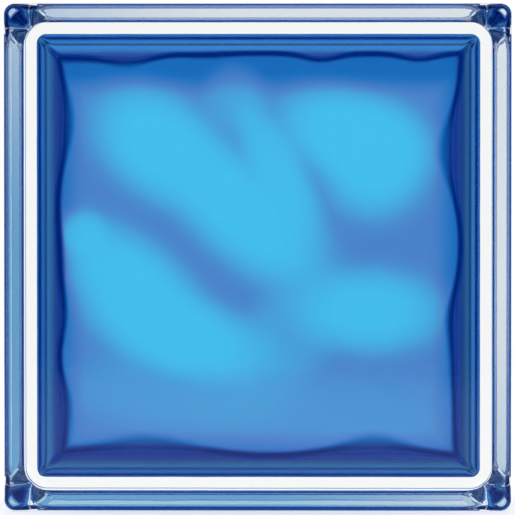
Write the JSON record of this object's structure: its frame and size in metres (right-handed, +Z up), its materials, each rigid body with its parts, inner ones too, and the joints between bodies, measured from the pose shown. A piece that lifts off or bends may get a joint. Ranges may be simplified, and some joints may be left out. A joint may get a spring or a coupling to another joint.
{
  "type": "glass block",
  "caption": "Square hollow wall block of pressed glass with flat faces, wavy inner faces in blue, a clear rim and a mortar channel round the sides",
  "frame": {"origin": "under the middle of the block, on the plane of the two lower lips it stands on", "axes": "+X across the block as seen from the front, +Y through its depth from the front face to the back face, +Z up"},
  "size_m": [0.19, 0.08, 0.19],
  "materials": {
    "coated_glass": "fire-polished clear glass with a translucent blue coat on the walls of the hollow"
  },
  "bodies": {
    "root": {"glass_block": "coated_glass"}
  },
  "joints": []
}
